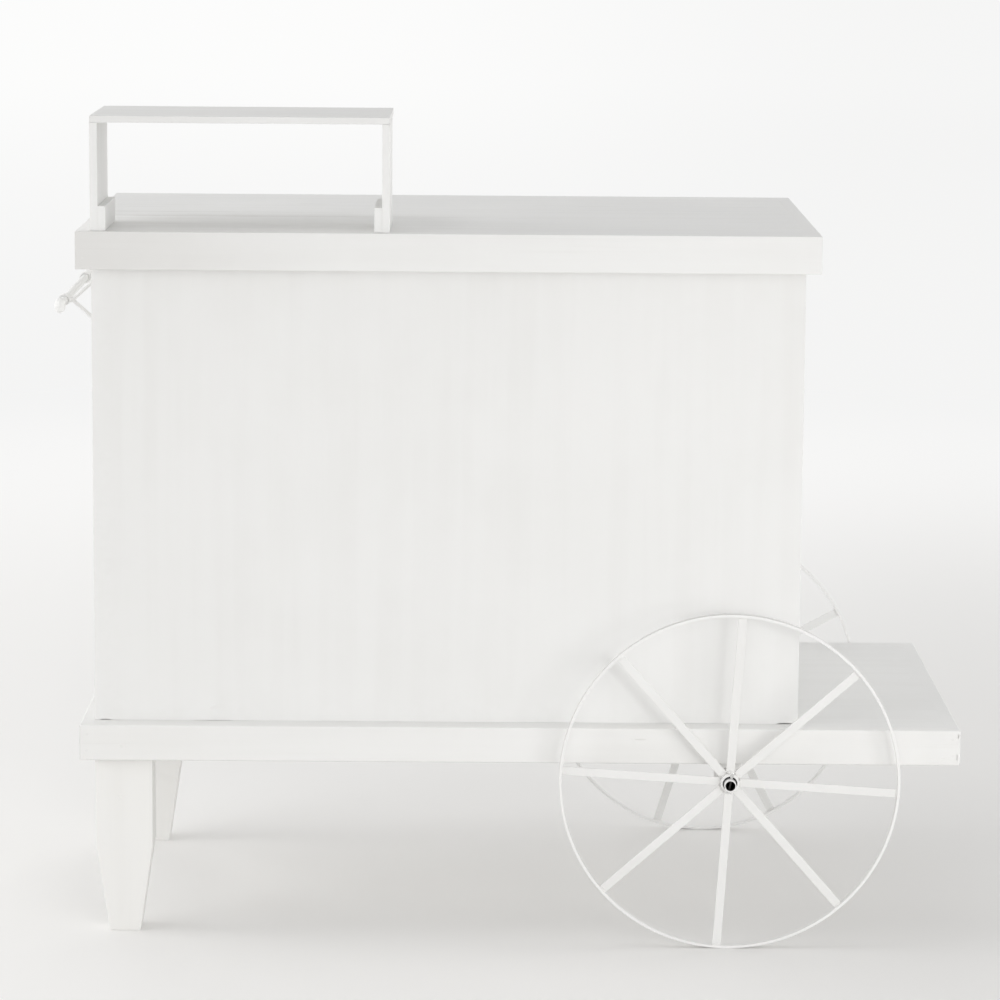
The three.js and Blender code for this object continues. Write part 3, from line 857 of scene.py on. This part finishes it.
def screw_head(point, out):
    """A round head with a cross recess."""
    deselect()
    bpy.ops.mesh.primitive_uv_sphere_add(segments=20, ring_count=12, radius=screw_radius)
    head = active()
    head.scale = (1, 1, screw_height / screw_radius)
    settle(head)
    lift = Vector((0, 0, screw_height + recess_lift))
    for across, along in ((recess_width, recess_length), (recess_length, recess_width)):
        half = Vector((across, along, recess_depth)) / 2
        tool = add_block(lift - half, lift + half)
        modified(head, "BOOLEAN", operation="DIFFERENCE", solver="EXACT", object=tool)
        hold(tool)
        bpy.ops.object.delete()
    turn = Vector((0, 0, 1)).rotation_difference(Vector(out)).to_matrix().to_4x4()
    head.data.transform(Matrix.Translation(point) @ turn)
    return head


handle_screws = together("handle_screws", [screw_head(point, (-1, 0, 0)) for point in screw_places])
done(handle_screws, "handle_screws", handle_enamel, "cart", "painted_steel")


# Axle, its brackets and the split pins

axle_low, axle_high = box_of("axle_tube")
hub_low, hub_high = box_of("front_wheel_hub")
axle_centre = (axle_low + axle_high) / 2
axle_reach = (axle_high.y - axle_low.y) / 2
axle_radius, axle_bore, axle_ease, axle_steps = 9 * mm, 7.2 * mm, 0.5 * mm, 48
hub_radius, hub_wall, hub_ease, hub_steps = (hub_high.z - hub_low.z) / 2, 3.5 * mm, 0.9 * mm, 64
collar_radius, collar_width, collar_ease = 13.5 * mm, 5 * mm, 0.8 * mm
running_gap = 0.5 * mm
# The bores of the axle and the hubs, and the split pins inside the axle's bore, are near-black: dark steel
# and painted shade
bore_of_axle = (axle_centre, axle_bore)
bore_of_hubs = ((hub_low + hub_high) / 2, hub_radius - hub_wall)
tube_enamel = steel("white enamel on the axle", *enamel_look, within=bore_of_axle)
hub_enamel = steel("white enamel on the hubs", *enamel_look, within=bore_of_hubs)
zinc = steel("zinc plate", (0.72, 0.72, 0.71), (0.5, 0.5, 0.49), 0.34, 0.9, 0.2, within=bore_of_axle,
             within_tone=(0.09, 0.088, 0.085))

tube = ring(eased_loop(axle_bore, axle_radius, -axle_reach, axle_reach, axle_ease), axle_centre, axle_steps)
collar_outer = axle_centre.y - hub_high.y - running_gap
collar_inner = collar_outer - collar_width
collars = [
    ring(eased_loop(axle_radius - mm, collar_radius, start, end, collar_ease), axle_centre, axle_steps)
    for start, end in ((-collar_outer, -collar_inner), (collar_inner, collar_outer))
]
tube = united(tube, *collars)

pin_radius, pin_play, pin_tilt, pin_setback = 1.2 * mm, 0.3 * mm, math.radians(11), 10 * mm
pin_wire = pin_radius / math.sqrt(2)
pin_eye, pin_eye_rise, pin_eye_start, pin_eye_step = 1.9 * mm, 4.2 * mm, 117, 25.3
pin_tail, pin_leg, pin_spread = 2 * mm, 4.5 * mm, math.radians(55)
pin_place = axle_reach - pin_setback + running_gap + pin_radius
pin_line = (math.sin(pin_tilt), 0, math.cos(pin_tilt))
for way in (-1, 1):
    drill = add_round(axle_centre + Vector((0, way * pin_place, 0)), pin_line, pin_radius + pin_play,
                      4 * axle_radius, 16)
    modified(tube, "BOOLEAN", operation="DIFFERENCE", solver="EXACT", object=drill)
    hold(drill)
    bpy.ops.object.delete()
done(tube, "axle_tube_with_collars", tube_enamel, "cart", "painted_steel", "axle_tube")

for side in ("front", "back"):
    node = f"axle_{side}_bracket"
    bracket = eased(solid_copy(node, node), axle_ease)
    done(bracket, f"{node}_angle", enamel, "cart", "painted_steel", node)


def split_pin_path():
    """The bent wire as (x, z) points: up one leg, round the eye and down the other leg."""
    wire_apart = 0.75 * pin_wire
    bend = -(axle_radius + pin_tail)
    eye_height = axle_radius + pin_eye_rise + pin_radius
    leg = [(-wire_apart - pin_leg * math.sin(pin_spread), bend - pin_leg * math.cos(pin_spread)),
           (-wire_apart - 1.2 * mm, bend - 1.6 * mm), (-wire_apart, bend + 0.6 * mm),
           (-wire_apart, axle_radius + pin_radius - 0.4 * mm)]
    eye = []
    for step in range(13):
        turn = math.radians(-pin_eye_start - pin_eye_step * step)
        eye.append((pin_eye * math.cos(turn), eye_height + pin_eye_rise * math.sin(turn)))
    return leg + eye + [(-x, z) for x, z in reversed(leg)]


for side, way in (("front", -1), ("back", 1)):
    path = split_pin_path()
    spine = bpy.data.curves.new(f"{side} split pin", "CURVE")
    spine.dimensions = "3D"
    spine.bevel_depth = pin_wire
    spine.bevel_resolution = 3
    spine.use_fill_caps = True
    line = spine.splines.new("POLY")
    line.points.add(len(path) - 1)
    for point, (x, z) in zip(line.points, path):
        point.co = (x, 0, z, 1)
    pin = bpy.data.objects.new(f"{side}_split_pin", spine)
    bpy.context.collection.objects.link(pin)
    hold(pin)
    bpy.ops.object.convert(target="MESH")
    pin = active()
    turn = Matrix.Rotation(pin_tilt, 4, "Y")
    pin.data.transform(Matrix.Translation(axle_centre + Vector((0, way * pin_place, 0))) @ turn)
    done(pin, f"{side}_split_pin", zinc, "cart", "zinc_steel", f"{side}_cotter_pin")


# Wheels

tread_depth = 0.4 * mm
spoke_gap, spoke_ease = 0.3 * mm, 0.6 * mm
bead_width_at_hub, bead_lift_at_hub = 2.2 * mm, 0.9 * mm
bead_width_at_rim, bead_drop_at_rim = 1.9 * mm, 0.7 * mm


def spoke_bar(centre, root, end, thickness, root_share):
    """A flat bar standing on the hub, its root cut narrower to meet its neighbours."""
    bar = add_block(centre + Vector((-spoke_width / 2, -thickness / 2, root)),
                    centre + Vector((spoke_width / 2, thickness / 2, end)))
    in_edit(bar)
    bpy.ops.mesh.select_all(action="SELECT")
    shoulder = spoke_width / 2 / math.tan(math.pi / spoke_count)
    bpy.ops.mesh.bisect(plane_co=centre + Vector((0, 0, shoulder)), plane_no=(0, 0, 1))
    pick(bar, lambda co: co.z < centre.z + root + same_level)
    bpy.ops.transform.resize(value=(root_share, 1, 1), center_override=centre)
    out_of_edit()
    return eased(bar, spoke_ease)


def weld_beads(centre, thickness, *rows):
    """A bead on each face of the bar for every (height, length, width)."""
    beads = []
    for height, length, width in rows:
        for way in (-1, 1):
            deselect()
            bpy.ops.mesh.primitive_uv_sphere_add(
                segments=16, ring_count=10, radius=1,
                location=centre + Vector((0, way * (thickness / 2 + 0.25 * width), height)))
            bead = active()
            bead.scale = (length / 2, width * 0.8, width)
            beads.append(settle(bead))
    return together("weld beads of a spoke", beads)


def wheel(name):
    low, high = box_of(f"{name}_rim")
    centre = (low + high) / 2
    half = (high.y - low.y) / 2
    rim_inner = wheel_radius - rim_thickness
    rim = ring(eased_loop(rim_inner, wheel_radius, -half, half, steel_ease), centre, rim_steps)
    # The rim's outer tread is darker than its faces, as painted shade
    rim_enamel = steel(f"white enamel on the rim of {name}", *shaded_tread_look,
                       within=(centre, wheel_radius - tread_depth), within_tone=rim_front_tone)
    done(rim, f"{name}_rim_hoop", rim_enamel, name, "painted_steel", f"{name}_rim")

    low, high = box_of(f"{name}_hub")
    half = (high.y - low.y) / 2
    hub = ring(eased_loop(hub_radius - hub_wall, hub_radius, -half, half, hub_ease), centre, hub_steps)
    done(hub, f"{name}_hub_sleeve", hub_enamel, name, "painted_steel", f"{name}_hub")

    low, high = box_of(f"{name}_spoke_1")
    thickness = high.y - low.y
    root = hub_radius + spoke_gap
    root_share = 2 * root * math.sin(math.pi / spoke_count) / spoke_width
    first = spoke_bar(centre, root, rim_inner - spoke_gap, thickness, root_share)
    first_beads = weld_beads(
        centre, thickness, (root + bead_lift_at_hub, 0.9 * root_share * spoke_width, bead_width_at_hub),
        (rim_inner - bead_drop_at_rim, 1.02 * spoke_width, bead_width_at_rim))
    all_beads = []
    for i in range(spoke_count):
        degrees = first_spoke_turn[name] + i * 360 / spoke_count
        turn = (Matrix.Translation(centre) @ Matrix.Rotation(math.radians(degrees), 4, "Y")
                @ Matrix.Translation(-centre))
        spoke_name = f"{name}_spoke_{i + 1}"
        spoke = twin(first, f"{spoke_name}_bar")
        spoke.data.transform(turn)
        done(spoke, f"{spoke_name}_bar", spoke_enamel, name, "painted_steel", spoke_name)
        beads = twin(first_beads, f"{spoke_name} beads")
        beads.data.transform(turn)
        all_beads.append(beads)
    hold(first, first_beads)
    bpy.ops.object.delete()
    done(together(f"{name}_welds", all_beads), f"{name}_welds", weld_enamel, name, "painted_steel")


wheel("front_wheel")
wheel("back_wheel")


# Floor, light and camera

# Seen straight or in gloss, the floor glows faintly near the cart and turns to the backdrop's white far
# away, and it keeps the cart's shadow. The glow is stronger towards -X and weaker towards +X, as painted
# light and painted shade. From below it is clear.
floor_radius = 60
glow_from = (-0.04, -6.2)
deselect()
bpy.ops.mesh.primitive_circle_add(vertices=96, radius=floor_radius, fill_type="NGON")
floor = active()
floor.name = "floor"
material, tree, shader = new_material("pale studio floor")
shader.inputs["Base Color"].default_value = (0.828, 0.82, 0.806, 1)
shader.inputs["Roughness"].default_value = 0.9
shader.inputs["Specular IOR Level"].default_value = 0.1
glow = node_of(tree, "ShaderNodeEmission")
glow.inputs["Color"].default_value = (1, 0.995, 0.985, 1)
spot = node_of(tree, "ShaderNodeTexCoord")
reach = node_of(tree, "ShaderNodeVectorMath", operation="LENGTH")
tree.links.new(spot.outputs["Object"], reach.inputs[0])
ray = node_of(tree, "ShaderNodeLightPath")
seen = sums(tree, "MAXIMUM", ray.outputs["Is Camera Ray"], ray.outputs["Is Glossy Ray"])
parts = node_of(tree, "ShaderNodeSeparateXYZ")
tree.links.new(spot.outputs["Object"], parts.inputs["Vector"])
sideways = sums(tree, "DIVIDE", sums(tree, "SUBTRACT", parts.outputs["X"], glow_from[0]),
                sums(tree, "SUBTRACT", parts.outputs["Y"], glow_from[1]))
# Painted light towards -X and painted shade towards +X
near_glow = sums(tree, "SUBTRACT", ranged(tree, sideways, -0.125, -0.05, 0.085, 0.063),
                 ranged(tree, sideways, 0.05, 0.125, 0.0, 0.047))
tree.links.new(sums(tree, "MULTIPLY", seen, near_glow), glow.inputs["Strength"])
both = node_of(tree, "ShaderNodeAddShader")
tree.links.new(shader.outputs["BSDF"], both.inputs[0])
tree.links.new(glow.outputs["Emission"], both.inputs[1])
far_glow = node_of(tree, "ShaderNodeEmission")
far_glow.inputs["Color"].default_value = (1, 1, 0.996, 1)
depth = ranged(tree, reach.outputs["Value"], 2, 24, 0.9, 0.974)
# Painted shade: the far glow dims towards +X
far_right_shade = sums(tree, "MULTIPLY", ranged(tree, sideways, -0.05, 0.12),
              ranged(tree, reach.outputs["Value"], 5, 20, 0.0, 0.056))
tree.links.new(sums(tree, "SUBTRACT", depth, far_right_shade), far_glow.inputs["Strength"])
blend = node_of(tree, "ShaderNodeMixShader")
tree.links.new(sums(tree, "MULTIPLY", seen, ranged(tree, reach.outputs["Value"], 1.5, 6)),
               blend.inputs["Fac"])
tree.links.new(both.outputs["Shader"], blend.inputs[1])
tree.links.new(far_glow.outputs["Emission"], blend.inputs[2])
under = node_of(tree, "ShaderNodeBsdfTransparent")
facing = node_of(tree, "ShaderNodeNewGeometry")
shown = node_of(tree, "ShaderNodeMixShader")
tree.links.new(facing.outputs["Backfacing"], shown.inputs["Fac"])
tree.links.new(blend.outputs["Shader"], shown.inputs[1])
tree.links.new(under.outputs["BSDF"], shown.inputs[2])
tree.links.new(shown.outputs["Shader"], tree.nodes["Material Output"].inputs["Surface"])
floor.data.materials.append(material)

# The world lights the cart evenly and is itself seen as nearly white
world = bpy.data.worlds.new("studio")
bpy.context.scene.world = world
world.use_nodes = True
sky = world.node_tree
backdrop = sky.nodes["Background"]
backdrop.inputs["Color"].default_value = (1, 1, 1, 1)
backdrop.inputs["Strength"].default_value = 0.5
seen_backdrop = node_of(sky, "ShaderNodeBackground")
seen_backdrop.inputs["Color"].default_value = (0.97, 0.97, 0.965, 1)
ray = node_of(sky, "ShaderNodeLightPath")
choose = node_of(sky, "ShaderNodeMixShader")
sky.links.new(sums(sky, "MAXIMUM", ray.outputs["Is Camera Ray"], ray.outputs["Is Glossy Ray"]),
              choose.inputs["Fac"])
sky.links.new(backdrop.outputs["Background"], choose.inputs[1])
sky.links.new(seen_backdrop.outputs["Background"], choose.inputs[2])
sky.links.new(choose.outputs["Shader"], sky.nodes["World Output"].inputs["Surface"])


def soft_box(name, power, place, target, width, height):
    """A wide soft lamp at a place, pointing at a target. Cameras don't see it."""
    lamp = bpy.data.lights.new(name, "AREA")
    lamp.shape = "RECTANGLE"
    lamp.size = width
    lamp.size_y = height
    lamp.energy = power
    holder = bpy.data.objects.new(name, lamp)
    aim = Vector(target) - Vector(place)
    holder.matrix_world = Matrix.Translation(place) @ aim.to_track_quat("-Z", "Y").to_matrix().to_4x4()
    holder.visible_camera = False
    bpy.context.collection.objects.link(holder)


soft_box("key", 22, (1.5, -4.65, 1.19), (0.2, -0.35, 0.5), 0.85, 0.85)
soft_box("right fill", 25, (2.2, -3.2, 0.6), (0.2, 0, 0.4), 2.0, 1.0)
soft_box("left fill", 24, (-5.0, -1.5, 1.4), (0, 0, 0.3), 4.0, 2.4)
soft_box("back", 150, (0, 6, 2.2), (0, 0, 0.5), 8.0, 3.4)
for name, power, place in (
        ("front", 15, (0, -4.4, 1.34)), ("right", 38, (4.4, 0, 1.34)), ("left", 11, (-4.4, 0, 1.34)),
        ("left front", 15, (-3.81, -2.2, 1.34)), ("left back", 12, (-3.81, 2.2, 1.34)),
        ("left high", 22, (-3.69, 0, 2.98)), ("left overhead", 14, (-1.95, -1.13, 4.3))):
    soft_box(name, power, place, (0, 0, 0.4), 1.7, 1.5)

lens = bpy.data.cameras.new("camera")
lens.sensor_width = 36
lens.lens = 144
camera = bpy.data.objects.new("camera", lens)
bpy.context.collection.objects.link(camera)
camera_place = (-0.0394, -6.1786, 1.6153)
tilt, yaw, roll = math.radians(9.18), math.radians(0.28), math.radians(0.44)
camera.matrix_world = (
    Matrix.Translation(camera_place) @ Matrix.Rotation(-yaw, 4, "Z")
    @ Matrix.Rotation(math.pi / 2 - tilt, 4, "X") @ Matrix.Rotation(roll, 4, "Z"))
bpy.context.scene.camera = camera
bpy.context.scene.view_settings.view_transform = "Standard"

deselect()
